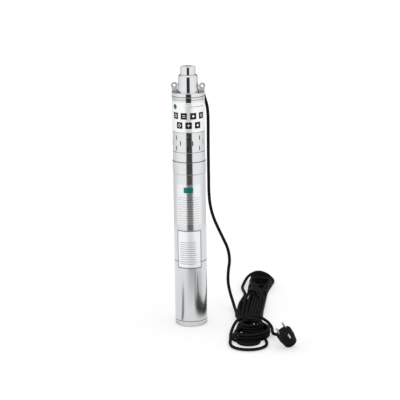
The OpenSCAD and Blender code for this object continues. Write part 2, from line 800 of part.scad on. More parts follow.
module earth_clips() {
    color([0.72, 0.72, 0.71]) in_plug() for (side = [-1, 1])
        translate([-clip_w / 2, side * (plug_d / 2 - clip_t / 2) - clip_t / 2, -clip_len])
            cube([clip_w, clip_t, clip_len - plug_edge]);
}

// Motor shaft with its journals and shoulder
module motor_shaft() {
    color([0.70, 0.71, 0.72]) rotate_extrude() {
        band_2d(0, shaft_d / 2, z_low_bearing, z_socket);
        band_2d(0, shaft_body_d / 2, z_seat_top, z_up_bearing);
        band_2d(0, shaft_end_d / 2, z_socket - over, z_socket + shaft_end_h);
    }
}

// Laminated rotor and its cast cage
module rotor_core() {
    color([0.38, 0.39, 0.41]) translate([0, 0, z_core]) linear_extrude(core_len) difference() {
        circle(d = rotor_d);
        circle(d = shaft_body_d + 2 * fit);
        for (i = [0 : cage_bars - 1]) rotate(360 * i / cage_bars)
            translate([cage_r, 0]) circle(d = cage_bar_d + 2 * fit);
    }
}
module rotor_cage() {
    ring_in = shaft_body_d / 2 + 2;
    color([0.78, 0.78, 0.77]) {
        for (z = [z_core - cage_ring_h, z_core_top])
            rotate_extrude() band_2d(ring_in, rotor_d / 2 - 0.2, z, z + cage_ring_h);
        translate([0, 0, z_core - over]) linear_extrude(core_len + 2 * over)
            for (i = [0 : cage_bars - 1]) rotate(360 * i / cage_bars)
                translate([cage_r, 0]) circle(d = cage_bar_d);
    }
}

// Socket on the shaft end that drives the rod through a pin
module drive_socket() {
    color([0.72, 0.73, 0.74]) difference() {
        rotate_extrude() difference() {
            disc_2d(socket_r, z_socket, z_socket + socket_h, 0, edge);
            band_2d(-over, shaft_end_d / 2 + fit, z_socket - over, z_socket + shaft_end_h + fit);
            band_2d(-over, socket_bore_r, z_socket + shaft_end_h + socket_web, z_socket + socket_h + over);
        }
        translate([0, 0, z_low_pin]) rotate([0, 90, 0])
            cylinder(d = pin_d + 2 * fit, h = 3 * socket_r, center = true);
    }
}
module drive_pin() {
    color([0.60, 0.61, 0.63]) translate([0, 0, z_low_pin]) rotate([0, 90, 0])
        cylinder(d = pin_d, h = 2 * pin_half(socket_r), center = true);
}

// Leaning rod that joins the shaft to the orbiting screw
module drive_rod() {
    color([0.66, 0.67, 0.69]) translate([0, 0, z_low_pin]) rotate([0, rod_tilt, 0]) difference() {
        translate([0, 0, -rod_end]) rotate_extrude()
            disc_2d(rod_d / 2, 0, rod_span + 2 * rod_end, edge, edge);
        for (z = [0, rod_span]) translate([0, 0, z]) rotate([0, 90, 0])
            cylinder(r = pin_hole_r, h = 2 * rod_d, center = true);
    }
}

// Ring that keeps the pin in the screw's neck
module pin_ring() {
    color([0.58, 0.59, 0.60]) translate([screw_ecc, 0, 0]) rotate_extrude()
        band_2d(neck_r + running, neck_r + running + pin_ring_wall, z_high_pin - pin_ring_h / 2,
            z_high_pin + pin_ring_h / 2);
}

// Screw: a round section carried round its own axis in a helix, on a drilled neck
module screw() {
    len_screw = element_len + screw_over;
    color([0.82, 0.83, 0.84]) translate([screw_ecc, 0, 0]) difference() {
        union() {
            translate([0, 0, z_pump]) linear_extrude(len_screw, twist = -360 * len_screw / screw_pitch,
                slices = screw_steps) translate([screw_ecc, 0]) circle(d = screw_d, $fn = screw_sides);
            translate([0, 0, z_pump - neck_below]) cylinder(r = neck_r, h = neck_below);
        }
        translate([0, 0, z_pump - neck_below - over])
            cylinder(r = neck_bore_r, h = z_high_pin + rod_end + over - z_pump + neck_below + over);
        translate([0, 0, z_high_pin]) rotate([0, 90, 0])
            cylinder(d = pin_d + 2 * fit, h = 3 * neck_r, center = true);
    }
}
module screw_pin() {
    color([0.60, 0.61, 0.63]) translate([screw_ecc, 0, z_high_pin]) rotate([0, 90, 0])
        cylinder(d = pin_d, h = 2 * pin_half(neck_r), center = true);
}

discharge_head();
suspension_eyes();
head_o_ring();
pump_casing();
stator_sleeve();
stator_rubber();
strainer();
intake_ring();
motor_top_cover();
cover_o_ring();
motor_casing();
base_cap();
base_o_ring();
stator_core();
stator_winding();
thermal_protector();
capacitor();
lower_bearing_seat();
upper_bearing_outer_ring();
lower_bearing_outer_ring();
seal_seat();
lead_bush();
inner_lead();
gland_nut();
cable_sleeve();
cable();
cable_hank();
plug_lead();
plug_body();
plug_pins();
earth_clips();
motor_shaft();
rotor_core();
rotor_cage();
upper_bearing_inner_ring();
lower_bearing_inner_ring();
upper_bearing_balls();
lower_bearing_balls();
seal_face();
seal_spring();
seal_collar();
drive_socket();
drive_pin();
drive_rod();
pin_ring();
screw();
screw_pin();
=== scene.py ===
import json
from math import cos, pi, radians, sin
import bpy
from mathutils import Matrix, Vector


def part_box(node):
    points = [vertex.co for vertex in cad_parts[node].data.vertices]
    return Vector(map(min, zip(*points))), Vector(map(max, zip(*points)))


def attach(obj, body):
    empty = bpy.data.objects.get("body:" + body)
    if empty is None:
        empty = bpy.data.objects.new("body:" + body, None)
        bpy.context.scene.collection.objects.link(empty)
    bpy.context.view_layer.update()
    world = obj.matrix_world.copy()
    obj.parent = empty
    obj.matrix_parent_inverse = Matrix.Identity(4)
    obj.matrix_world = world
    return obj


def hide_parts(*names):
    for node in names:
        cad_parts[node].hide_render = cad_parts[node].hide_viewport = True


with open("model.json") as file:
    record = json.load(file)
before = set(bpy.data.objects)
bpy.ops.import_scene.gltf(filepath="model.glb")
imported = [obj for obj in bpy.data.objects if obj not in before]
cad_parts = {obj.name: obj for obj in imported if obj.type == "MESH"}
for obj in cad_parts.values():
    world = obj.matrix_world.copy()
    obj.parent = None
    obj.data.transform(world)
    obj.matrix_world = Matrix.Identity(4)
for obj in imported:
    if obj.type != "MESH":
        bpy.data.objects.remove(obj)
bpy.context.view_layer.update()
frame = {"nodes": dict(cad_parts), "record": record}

scene = bpy.context.scene
nodes = frame["nodes"]
mm = 0.001


def levelsOf(node):
    low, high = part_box(node)
    return low[2] / mm, high[2] / mm


# Radius and levels that the looks hang on, in millimetres, taken from the frame
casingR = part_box("motor_casing")[1][0] / mm
motorLow, motorHigh = levelsOf("motor_casing")
pumpLow, pumpHigh = levelsOf("pump_casing")
ringLow = levelsOf("intake_ring")[0]
strainerLow = levelsOf("strainer")[0]
eyesLow = levelsOf("suspension_eyes")[0]
headTop = levelsOf("discharge_head")[1]
print("frame loaded, casing radius", round(casingR, 2))

# Camera, fitted to the casing's edges and rings in the photograph
view = {
    "photoSide": 400,
    "focalPixels": 1737,
    "distance": 4.019,
    "elevation": radians(13.74),
    "orbitHeight": 0.305,
    "aim": Vector((0.0238, 0, 0.296)),
    "roll": radians(-0.764),
    "sensor": 36,
    "clip": (0.1, 50),
}


def placeCamera(spec):
    back = Vector((0, -cos(spec["elevation"]), sin(spec["elevation"])))
    place = Vector((0, 0, spec["orbitHeight"])) + spec["distance"] * back
    ahead = (spec["aim"] - place).normalized()
    right = ahead.cross(Vector((0, 0, 1))).normalized()
    up = right.cross(ahead)
    turnedRight = cos(spec["roll"]) * right + sin(spec["roll"]) * up
    turnedUp = cos(spec["roll"]) * up - sin(spec["roll"]) * right
    data = bpy.data.cameras.new("photoCamera")
    data.sensor_width = spec["sensor"]
    data.lens = spec["sensor"] * spec["focalPixels"] / spec["photoSide"]
    data.clip_start, data.clip_end = spec["clip"]
    camera = bpy.data.objects.new("photoCamera", data)
    scene.collection.objects.link(camera)
    turn = Matrix((turnedRight, turnedUp, -ahead)).transposed()
    camera.matrix_world = Matrix.Translation(place) @ turn.to_4x4()
    scene.camera = camera


placeCamera(view)
scene.view_settings.view_transform = "Standard"
print("camera placed")

# Supply cable, in millimetres: hangs from the gland, lies in a hank of crossed loops, goes on to the plug
# A loop is its reach to the right and to the left, its end and its layer; the first far loop lies loose
cableSpec = {
    "diameter": 7.4,
    "length": 9.34,  # metres
    "curveSteps": 5,
    "roundSteps": 4,
    "exitRadius": 55,
    "exitAngle": radians(60),
    "exitHeight": 543.6,
    "exitRun": 5,
    "hang": [
        (33, 60, 540.5), (35.5, 66, 534), (39.3, 72, 520), (43, 75.5, 506), (45, 77, 490), (45.7, 79, 465),
        (45.5, 82, 430), (45.4, 86, 392), (45.4, 91, 355), (45.6, 97, 320), (46, 104, 288),
        (48.5, 111, 258), (55, 118, 228), (66, 125, 198), (79, 131, 168), (90, 135, 140),
        (94, 136, 112), (91, 134, 86), (90, 129, 60), (94, 119, 37), (100, 102, 19),
        (104, 82, 9), (107, 56, 6),
    ],
    "layers": (4.5, 11.2, 17.9, 24.6),
    "waistX": 135,
    "waistPitch": 6.8,
    "farTilt": 37 / 325,  # drift of the hank's middle line to the right
    "nearTilt": 7 / 180,
    "nearLoops": (
        (30, 18, -112, 3), (34, 23, -112, 2), (38, 25, -113, 1), (46, 30, -160, 2), (47, 33, -162, 1),
        (24, 24, -186, 0), (20, 28, -114, 0), (46, 37, -163, 0), (41, 41, -220, 0),
    ),
    "farLoops": (
        (37, 36, 352, 2), (30, 17, 352, 1), (27, 19, 356, 0), (31, 16, 298, 2), (33, 15, 300, 1),
        (27, 19, 304, 0), (29, 17, 258, 1), (28, 18, 256, 0),
    ),
    "looseLeg": [
        (157, 348, 15), (146, 334.5, 11.5), (138.5, 313, 8.5), (132.8, 289, 6), (129, 266, 4.9),
        (128.8, 247, 4.5), (131, 227, 4.9), (133, 205, 6), (131, 178, 7.5), (125, 147, 9),
        (119, 116, 10), (114.5, 82, 10.4), (112, 45, 10.4),
    ],
    "overPass": [
        (88, -146, 4.5), (89.5, -112, 4.5), (93, -80, 5), (99, -55, 9.5), (109, -35, 15.5),
        (123, -23, 18.4), (141, -18, 18.5), (160, -20, 16), (175, -31, 10), (183, -47, 5.7),
    ],
    "plugEnd": [(186, -68, 4.5), (186, -92, 5.2), (187, -118, 8), (190, -139, 13), (197.3, -155.9, 16.3)],
    "slant": 0.3,
    "wideLoop": 70,  # loops wider than this lie aslant
    "nearSpread": 88,
    "farSpread": 112,
    "nearOver": 20,
    "farOver": 24,
    "nearLifted": 5,  # so many first near loops are led over the others
    "farLowered": 3,  # so many first far loops start on the floor
    "fan": (0.25, 0.45),
    "fanReach": 230,
    "longRun": 60,
    "shortRun": 8,
    "straightKnots": (0.33, 0.67, 1),
    "crossSteps": 5,
    "arcSteps": 6,
}


def eased(share):
    return share * share * (3 - 2 * share)


def cableRoute(spec):
    layers, pitch = spec["layers"], spec["waistPitch"]
    turns = len(spec["nearLoops"])
    overs = [pitch * (turn - (turns - 1) / 2) for turn in range(turns)]
    outFan, backFan = spec["fan"]
    out = Vector((cos(spec["exitAngle"]), sin(spec["exitAngle"]), 0))
    start = spec["exitRadius"] * out + Vector((0, 0, spec["exitHeight"]))
    route = [start, start + spec["exitRun"] * out] + [Vector(p) for p in spec["hang"]]

    def midLine(y):
        return spec["waistX"] + y * (spec["farTilt"] if y > 0 else spec["nearTilt"])

    # A run between the waist and a loop: straight at first, then across to its side, over what lies there
    def run(waist, waistZ, side, centre, sideZ, spread, outward, over=0, fan=0):
        begin = max(0, abs(centre) - spread)
        reach = abs(centre) - begin
        hump = over - (waistZ + sideZ) / 2 if over else 0
        if begin > spec["longRun"]:
            stops = [begin * share for share in spec["straightKnots"]]
        else:
            stops = [begin] if begin > spec["shortRun"] else []
        steps = spec["crossSteps"]
        stops = [0] + stops + [begin + reach * step / steps for step in range(1, steps)]
        for along in stops if outward else reversed(stops):
            share = eased(max(0, along - begin) / reach)
            y = along if centre > 0 else -along
            fanned = waist * (1 + fan * sin(pi * min(along / spec["fanReach"], 1)) ** 2 * (waist < 0))
            x = midLine(y) + fanned + (side - fanned) * share
            z = waistZ + (sideZ - waistZ) * share + hump * sin(pi * share)
            route.append(Vector((x, y, z)))

    # The round end of a loop, which may lie aslant and rise from a lower start
    def bend(right, left, centre, z, way, part=1, drop=0, slant=0):
        half = (right + left) / 2
        for step in range(int(spec["arcSteps"] * part) + 1):
            angle = pi * step / spec["arcSteps"]
            x = midLine(centre) + right - half + half * cos(angle)
            y = centre + slant * cos(angle) + way * half * sin(angle)
            route.append(Vector((x, y, z - drop * max(0, cos(angle)) ** 2)))

    for turn, (right, left, end, layer) in enumerate(spec["nearLoops"]):
        last = turn == turns - 1
        z, centre = layers[layer], end + (right + left) / 2
        aslant = right + left > spec["wideLoop"] and not last
        slant = spec["slant"] * (right + left) / 2 if aslant else 0
        run(overs[turn], layers[1], right, centre + slant, z, spec["nearSpread"], True,
            spec["nearOver"] if turn < spec["nearLifted"] else 0)
        bend(right, left, centre, z, -1, slant=slant)
        if last:
            break
        run(-overs[turn], layers[0], -left, centre - slant, z, spec["nearSpread"], False)
        route.pop()  # the next run starts with the same knot at the waist
        right, left, end, layer = spec["farLoops"][turn]
        z, centre = layers[layer], end - (right + left) / 2
        lowered = turn < spec["farLowered"]
        drop = z - layers[0] if lowered else 0
        run(-overs[turn], layers[0], right, centre, z - drop, spec["farSpread"], True, fan=outFan)
        if turn == 0:
            bend(right, left, centre, z, 1, part=0.5, drop=drop)
            route.extend(Vector(p) for p in spec["looseLeg"])
            continue
        bend(right, left, centre, z, 1, drop=drop)
        run(overs[turn + 1], layers[1], -left, centre, z, spec["farSpread"], False,
            0 if lowered else spec["farOver"], backFan)
        route.pop()
    route += [Vector(p) for p in spec["overPass"] + spec["plugEnd"]]
    return [p * mm for p in route]


def makeCord(spec):
    points = cableRoute(spec)
    data = bpy.data.curves.new("supplyCable", "CURVE")
    data.dimensions = "3D"
    data.resolution_u = spec["curveSteps"]
    data.bevel_depth = 1  # scaled by each knot's radius
    data.bevel_resolution = spec["roundSteps"]
    data.use_fill_caps = True
    spline = data.splines.new("BEZIER")
    spline.bezier_points.add(len(points) - 1)
    for knot, place in zip(spline.bezier_points, points):
        knot.co = place
        knot.handle_left_type = knot.handle_right_type = "AUTO"
        knot.radius = spec["diameter"] * mm / 2
    cord = bpy.data.objects.new("supplyCable", data)
    scene.collection.objects.link(cord)
    print("cable length", round(spline.calc_length(), 3), "points", len(points))
    return cord, points[0]


cord, cordExit = makeCord(cableSpec)
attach(cord, "casing")
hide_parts("cable", "cable_hank", "plug_lead")
print("cable laid")


# Shader building: a socket with operators, and one method for every other node
class Value:
    def __init__(self, shop, socket):
        self.shop, self.socket = shop, socket

    def math(self, operation, *others):
        return self.shop.make("ShaderNodeMath", {"operation": operation}, (self, *others))

    def __add__(self, other):
        return self.math("ADD", other)

    def __sub__(self, other):
        return self.math("SUBTRACT", other)

    def __mul__(self, other):
        return self.math("MULTIPLY", other)

    def __truediv__(self, other):
        return self.math("DIVIDE", other)

    def __radd__(self, other):
        return self + other

    def __rmul__(self, other):
        return self * other

    def __rsub__(self, other):
        return self.shop.make("ShaderNodeMath", {"operation": "SUBTRACT"}, (other, self))

    def __rtruediv__(self, other):
        return self.shop.make("ShaderNodeMath", {"operation": "DIVIDE"}, (other, self))

    def __lt__(self, other):
        return self.math("LESS_THAN", other)

    def __gt__(self, other):
        return self.math("GREATER_THAN", other)

    def __abs__(self):
        return self.math("ABSOLUTE")

    def root(self):
        return self.math("SQRT")

    def either(self, other):
        return self.math("MAXIMUM", other)

    def both(self, other):
        return self.math("MULTIPLY", other)

    def ramp(self, low, high, start=0.0, end=1.0):
        settings = {"interpolation_type": "SMOOTHSTEP"}
        return self.shop.make("ShaderNodeMapRange", settings, (self, low, high, start, end))


class Shop:
    def __init__(self, tree):
        self.tree = tree
        tree.nodes.clear()

    def make(self, kind, settings=None, sockets=(), output=0):
        node = self.tree.nodes.new(kind)
        for name, value in (settings or {}).items():
            setattr(node, name, value)
        pairs = sockets.items() if isinstance(sockets, dict) else enumerate(sockets)
        for name, value in pairs:
            if isinstance(value, Value):
                self.tree.links.new(value.socket, node.inputs[name])
            elif value is not None:
                node.inputs[name].default_value = value
        return Value(self, node.outputs[output]) if node.outputs else None

    def colours(self, factor, first, second):
        sockets = {0: factor, 6: first, 7: second}  # the node's colour sockets
        return self.make("ShaderNodeMix", {"data_type": "RGBA"}, sockets, 2)

    def noise(self, place, scale, detail=3.0):
        return self.make("ShaderNodeTexNoise", {}, {"Vector": place, "Scale": scale, "Detail": detail})

    def stretched(self, place, scale):
        return self.make("ShaderNodeMapping", {}, {"Vector": place, "Scale": scale})


def lightPath(shop):
    path = shop.make("ShaderNodeLightPath")
    return [Value(shop, path.socket.node.outputs[kind]) for kind in ("Is Camera Ray", "Is Glossy Ray")]


def parted(shop, vector):
    split = shop.make("ShaderNodeSeparateXYZ", {}, (vector,))
    return [Value(shop, split.socket.node.outputs[axis]) for axis in range(3)]


def rgba(colour):
    return (*colour, 1.0)


def newMaterial(name):
    material = bpy.data.materials.new(name)
    material.use_nodes = True
    shop = Shop(material.node_tree)
    place = shop.make("ShaderNodeTexCoord", {}, (), "Object")
    return material, shop, place


def close(shop, sockets):
    surface = shop.make("ShaderNodeBsdfPrincipled", {}, sockets)
    shop.make("ShaderNodeOutputMaterial", {}, {"Surface": surface})


# Way round the casing from the front, and height, both in millimetres
def casingPlace(shop, place):
    x, y, z = parted(shop, place)
    around = x.math("ARCTAN2", y * -1)
    return around * casingR, z / mm


# Mirror-polished stainless steel of the casing and head, with painted shade in the joints between the
# sleeves
# A joint is its level, half width and depth of shade
steelSpec = {
    "colour": (0.80, 0.81, 0.82),
    "shade": (0.72, 0.73, 0.745),
    "cloud": 14.0,
    "brushed": (6, 6, 900),
    "roughness": 0.09,
    "brushedRough": 0.06,
    "cloudRough": 0.05,
    # dark colour of the painted shade in the joints
    "joint": (0.10, 0.10, 0.105),
    "jointEdge": (0.6, 1.4),
    "joints": (
        (motorLow, 0.8, 0.75), (156, 0.8, 0.7), (motorHigh, 0.7, 0.35), (ringLow + 0.2, 0.9, 0.8),
        (strainerLow, 0.8, 0.4), (pumpLow, 0.7, 0.35), (pumpHigh, 0.8, 0.6), (pumpHigh + 6, 0.8, 0.6),
        (headTop - 18.5, 0.7, 0.5),
    ),
    "bore": (12.6, headTop - 20, headTop - 0.6),  # radius, lower end and level of the top face
    "boreRough": 0.5,
    "boreDull": 0.6,
    "shoulder": (headTop - 23, headTop - 18.2, 0.35),  # ends, and share of the bore's dullness
    "ledge": (eyesLow, 0.8, 20, 27, 0.85),  # level, half height, start and full reach, depth of shade
}


# Painted shade: a dark line at each joint level, standing for the shade that falls in the gap
def jointShade(shop, z):
    inner, outer = steelSpec["jointEdge"]
    shade = None
    for level, half, depth in steelSpec["joints"]:
        line = abs(z - level).ramp(half * inner, half * outer, depth, 0.0)
        shade = line if shade is None else shade.either(line)
    return shade


def steelGround(shop, place):
    cloud = shop.noise(place, steelSpec["cloud"])
    lines = shop.noise(shop.stretched(place, steelSpec["brushed"]), scale=1.0, detail=2.0)
    colour = shop.colours(cloud, rgba(steelSpec["shade"]), rgba(steelSpec["colour"]))
    return cloud, lines, colour


# The threaded bore of the outlet and its top face are left unpolished, and the shoulder is less polished
def polishedSteel():
    spec = steelSpec
    material, shop, place = newMaterial("polishedSteel")
    cloud, lines, steel = steelGround(shop, place)
    x, y, z = parted(shop, place)
    reach, height = (x * x + y * y).root() / mm, z / mm
    radius, low, top = spec["bore"]
    dull = (reach < radius).both(height > low).either(height > top)
    low, top, share = spec["shoulder"]
    dull = dull.either((height > low).both(height < top) * share)
    # Painted shade and dark reflection on the flat top of the head beside the eyes
    level, half, inner, outer, depth = spec["ledge"]
    ledge = (abs(height - level) < half).both(abs(x / mm).ramp(inner, outer, 0.0, depth))
    colour = shop.colours(jointShade(shop, height).either(ledge), steel, rgba(spec["joint"]))
    rough = lines * spec["brushedRough"] + cloud * spec["cloudRough"] + dull * spec["boreRough"]
    rough = rough + (spec["roughness"] - spec["cloudRough"])
    close(shop, {"Base Color": colour, "Metallic": 1.0 - dull * spec["boreDull"], "Roughness": rough})
    return material


# White film on the pump casing with plain black tiles, each with one simple shape
# A row is its height above the casing's lower end and the middles of its tiles, with their shapes
filmSpec = {
    "tile": 7.5,
    "corner": 0.9,
    "rows": (
        (38.5, ((-33, "ring"), (-11, "bars"), (11, "dot"), (33, "posts"))),
        (17, ((-22, "frame"), (0, "cross"), (22, "diamond"))),
    ),
    "ring": (3.2, 0.6),
    "bars": (2.0, 0.55, 3.8),
    "dot": 2.6,
    "posts": (2.0, 0.6, 3.6),
    "frame": (3.8, 0.75),
    "cross": (0.8, 3.8),
    "diamond": 3.2,
    "lowEdge": 1.0,
    "highEdge": 5.5,
    "whites": ((0.86, 0.865, 0.87), (0.91, 0.91, 0.91)),
    "black": (0.006, 0.006, 0.007),
    "teal": (0.004, 0.13, 0.12),
    "spot": (-35, 59, 5.8),
    "rule": (23, 60, 19, 0.6),
    "ruleDepth": 0.8,
    "cloud": 18.0,
    "dull": (0.55, 0.45),  # of the film, and more of the ink
    "rough": (0.1, 0.16, 0.06),  # of the steel, and more of the film and its clouds
    "coat": 0.3,
    "specular": 0.2,
}


def boxMask(s, z, centre, half):
    return (abs(s - centre[0]) < half[0]).both(abs(z - centre[1]) < half[1])


def motif(kind, u, v):
    size = filmSpec[kind]
    if kind == "ring":
        radius, half = size
        return abs((u * u + v * v).root() - radius) < half
    if kind == "bars":
        offset, half, length = size
        return (abs(abs(v) - offset) < half).both(abs(u) < length)
    if kind == "dot":
        return (u * u + v * v).root() < size
    if kind == "posts":
        offset, half, length = size
        return (abs(abs(u) - offset) < half).both(abs(v) < length)
    if kind == "frame":
        reach, half = size
        return abs(abs(u) + abs(v) - reach) < half
    if kind == "cross":
        half, length = size
        return boxMask(u, v, (0, 0), (half, length)).either(boxMask(u, v, (0, 0), (length, half)))
    return (abs(u) + abs(v)) < size


def filmedSteel():
    spec = filmSpec
    material, shop, place = newMaterial("filmedSteel")
    s, height = casingPlace(shop, place)
    z = height - pumpLow
    flat = spec["tile"] - spec["corner"]
    black = None
    for rowZ, tiles in spec["rows"]:
        for centre, kind in tiles:
            u, v = s - centre, z - rowZ
            across, along = (abs(u) - flat).either(0.0), (abs(v) - flat).either(0.0)
            tile = (across * across + along * along).root() < spec["corner"]
            tile = tile.both(1.0 - motif(kind, u, v))
            black = tile if black is None else black.either(tile)
    spotS, spotZ, spotR = spec["spot"]
    across, along = s - spotS, z - spotZ
    spot = (across * across + along * along).root() < spotR
    rule = boxMask(s, z, spec["rule"][:2], spec["rule"][2:])
    film = (z > spec["lowEdge"]).both(z < pumpHigh - pumpLow - spec["highEdge"])
    cloud = shop.noise(place, spec["cloud"])
    white = shop.colours(cloud, *[rgba(shade) for shade in spec["whites"]])
    inked = black.either(rule * spec["ruleDepth"])
    printed = shop.colours(inked, white, rgba(spec["black"]))
    spotted = shop.colours(spot, printed, rgba(spec["teal"]))
    filmed = shop.colours(film, rgba(steelSpec["colour"]), spotted)
    # Painted shade in the joints
    colour = shop.colours(jointShade(shop, height), filmed, rgba(steelSpec["joint"]))
    ink = inked.either(spot)
    filmDull, inkDull = spec["dull"]
    steelRough, filmRough, cloudRough = spec["rough"]
    close(shop, {"Base Color": colour,
                 "Metallic": 1.0 - film * (filmDull + inkDull * ink),
                 "Roughness": steelRough + film * (filmRough + cloud * cloudRough),
                 "Coat Weight": film * (1.0 - ink) * spec["coat"],
                 "Specular IOR Level": spec["specular"]})
    return material


# Motor casing: bare steel, a clear film with plain rules and a framed white label with ruled lines
# Lines are their ends, pitch, half share of the pitch, margin at the sides and depth of ink
labelSpec = {
    "left": radians(-51),
    "right": radians(42),
    "label": (141.5, 232),
    "border": 2.1,
    "film": (246.5, 341),
    "plate": (-3, 328, 11, 6.6),
    "rules": (248, 312, 5.4, 0.09, 4, 0.6),
    "lines": (150, 205, 5.1, 0.16, 7, 0.62),
    "lineShift": 3,
    "lineLoose": 8,
    "wander": (1, 1, 300),
    "filmColour": (0.86, 0.865, 0.875),
    "paper": (0.86, 0.88, 0.885),
    "ruleInk": (0.16, 0.16, 0.17),
    "lineInk": (0.10, 0.10, 0.11),
    "teal": (0.03, 0.12, 0.125),
    "plateTeal": (0.0, 0.14, 0.12),
    "bridged": 0.85,
    "dull": (0.62, 0.38, 0.9, 0.1),  # of the label, its border, the plate and the film
    "rough": (0.04, 0.16, 0.045),  # of the clouds, the label and the film
    "lowRough": (60, 140, 0.07),
    "coat": 0.3,
}


def ruledMask(s, z, spec, width):
    low, high, pitch, thick = spec
    phase = abs(((z - low) / pitch).math("FRACT") - 0.5)
    return (phase < thick).both(z > low).both(z < high).both(abs(s) < width)


def labelledSteel():
    spec = labelSpec
    material, shop, place = newMaterial("labelledSteel")
    s, z = casingPlace(shop, place)
    left, right = spec["left"] * casingR, spec["right"] * casingR
    middle, half = (left + right) / 2, (right - left) / 2

    def panel(low, high, edge=0):
        return boxMask(s, z, (middle, (low + high) / 2), (half - edge, (high - low) / 2 - edge))

    outer, inner = panel(*spec["label"]), panel(*spec["label"], spec["border"])
    border = outer.both(1.0 - inner)
    clear = panel(*spec["film"])
    plate = boxMask(s, z, spec["plate"][:2], spec["plate"][2:])
    *rows, margin, lineDepth = spec["lines"]
    wander = shop.noise(shop.stretched(place, spec["wander"]), scale=1.0, detail=1.0)
    width = half - margin - wander * spec["lineLoose"]
    lines = ruledMask(s - (middle - spec["lineShift"]), z, rows, width)
    *rows, margin, ruleDepth = spec["rules"]
    rules = ruledMask(s - middle, z, rows, half - margin)
    cloud, grain, steel = steelGround(shop, place)
    filmed = shop.colours(clear, steel, rgba(spec["filmColour"]))
    ruled = shop.colours(rules * ruleDepth, filmed, rgba(spec["ruleInk"]))
    plated = shop.colours(plate, ruled, rgba(spec["plateTeal"]))
    papered = shop.colours(inner, plated, rgba(spec["paper"]))
    lined = shop.colours(lines.both(inner) * lineDepth, papered, rgba(spec["lineInk"]))
    framed = shop.colours(border, lined, rgba(spec["teal"]))
    # Painted shade in the joints, mostly left off where the label bridges the casing's rolled ring
    grooveShade = jointShade(shop, z).both(1.0 - outer * spec["bridged"])
    colour = shop.colours(grooveShade, framed, rgba(steelSpec["joint"]))
    labelDull, borderDull, plateDull, filmDull = spec["dull"]
    metal = 1.0 - outer * labelDull - border * borderDull - plate * plateDull
    metal = metal - clear * filmDull * (1.0 - plate)
    cloudRough, labelRough, filmRough = spec["rough"]
    low, high, lowRough = spec["lowRough"]
    rough = steelSpec["roughness"] + grain * steelSpec["brushedRough"] + cloud * cloudRough
    rough = rough + outer * labelRough + clear * filmRough + z.ramp(low, high, lowRough, 0.0)
    close(shop, {"Base Color": colour, "Metallic": metal, "Roughness": rough,
                 "Coat Weight": outer * spec["coat"]})
    return material


# Plain surfaces: two shades mixed by noise, how metallic and how rough, with a fine grain in the gloss
surfaces = {
    "plain_stainless": ((0.60, 0.61, 0.62), (0.70, 0.71, 0.72), 1.0, 0.24),
    "eye_steel": ((0.42, 0.43, 0.44), (0.56, 0.57, 0.58), 1.0, 0.16),
    "chromed_screw": ((0.76, 0.77, 0.78), (0.84, 0.85, 0.86), 1.0, 0.10),
    "bearing_steel": ((0.58, 0.59, 0.61), (0.68, 0.69, 0.71), 1.0, 0.16),
    "lamination_steel": ((0.20, 0.21, 0.22), (0.36, 0.37, 0.39), 0.9, 0.45),
    "winding_copper": ((0.50, 0.22, 0.08), (0.74, 0.38, 0.16), 0.9, 0.35),
    "cage_aluminium": ((0.62, 0.62, 0.61), (0.76, 0.76, 0.75), 1.0, 0.40),
    "cast_seat": ((0.50, 0.51, 0.52), (0.62, 0.63, 0.64), 1.0, 0.42),
    "capacitor_can": ((0.66, 0.67, 0.69), (0.77, 0.78, 0.80), 1.0, 0.28),
    "protector_plastic": ((0.74, 0.72, 0.64), (0.84, 0.82, 0.75), 0.0, 0.45),
    "ceramic": ((0.82, 0.81, 0.78), (0.90, 0.89, 0.86), 0.0, 0.15),
    "carbon": ((0.05, 0.05, 0.055), (0.10, 0.10, 0.105), 0.0, 0.35),
    "seal_rubber": ((0.012, 0.012, 0.012), (0.03, 0.03, 0.03), 0.0, 0.55),
    "cable_rubber": ((0.003, 0.003, 0.0033), (0.007, 0.007, 0.0075), 0.0, 0.46),
    "plug_plastic": ((0.003, 0.003, 0.0033), (0.008, 0.008, 0.0085), 0.0, 0.42),
    "plug_metal": ((0.62, 0.61, 0.57), (0.76, 0.75, 0.72), 1.0, 0.22),
}
grainSpec = {
    "cloud": 60.0,
    "fine": 900.0,
    "gloss": 0.08,
    "bump": 0.06,
    "bumpDepth": 0.0004,
    "specular": 0.5,
    "matt": {"cable_rubber": 0.08, "plug_plastic": 0.08},  # surfaces with a lower specular level
}


def plainSurface(name, spec):
    low, high, metal, rough = spec
    material, shop, place = newMaterial(name)
    cloud = shop.noise(place, grainSpec["cloud"])
    fine = shop.noise(place, grainSpec["fine"], detail=2.0)
    bump = shop.make("ShaderNodeBump", {}, {"Height": fine, "Strength": grainSpec["bump"],
                                            "Distance": grainSpec["bumpDepth"]})
    close(shop, {"Base Color": shop.colours(cloud, rgba(low), rgba(high)),
                 "Metallic": metal,
                 "Roughness": fine * grainSpec["gloss"] + (rough - grainSpec["gloss"] / 2),
                 "Specular IOR Level": grainSpec["matt"].get(name, grainSpec["specular"]),
                 "Normal": bump})
    return material


made = {name: plainSurface(name, spec) for name, spec in surfaces.items()}
made["polished_stainless"] = polishedSteel()
made["filmed_stainless"] = filmedSteel()
labelled = labelledSteel()
slots = {part["node"]: part["material_slot"] for part in frame["record"]["subparts"]}
for name, node in nodes.items():
    node.data.materials.clear()
    kind = "eye_steel" if "eye" in name else slots[name]
    node.data.materials.append(labelled if name == "motor_casing" else made[kind])
cord.data.materials.append(made["cable_rubber"])
print("materials set", len(made) + 1)
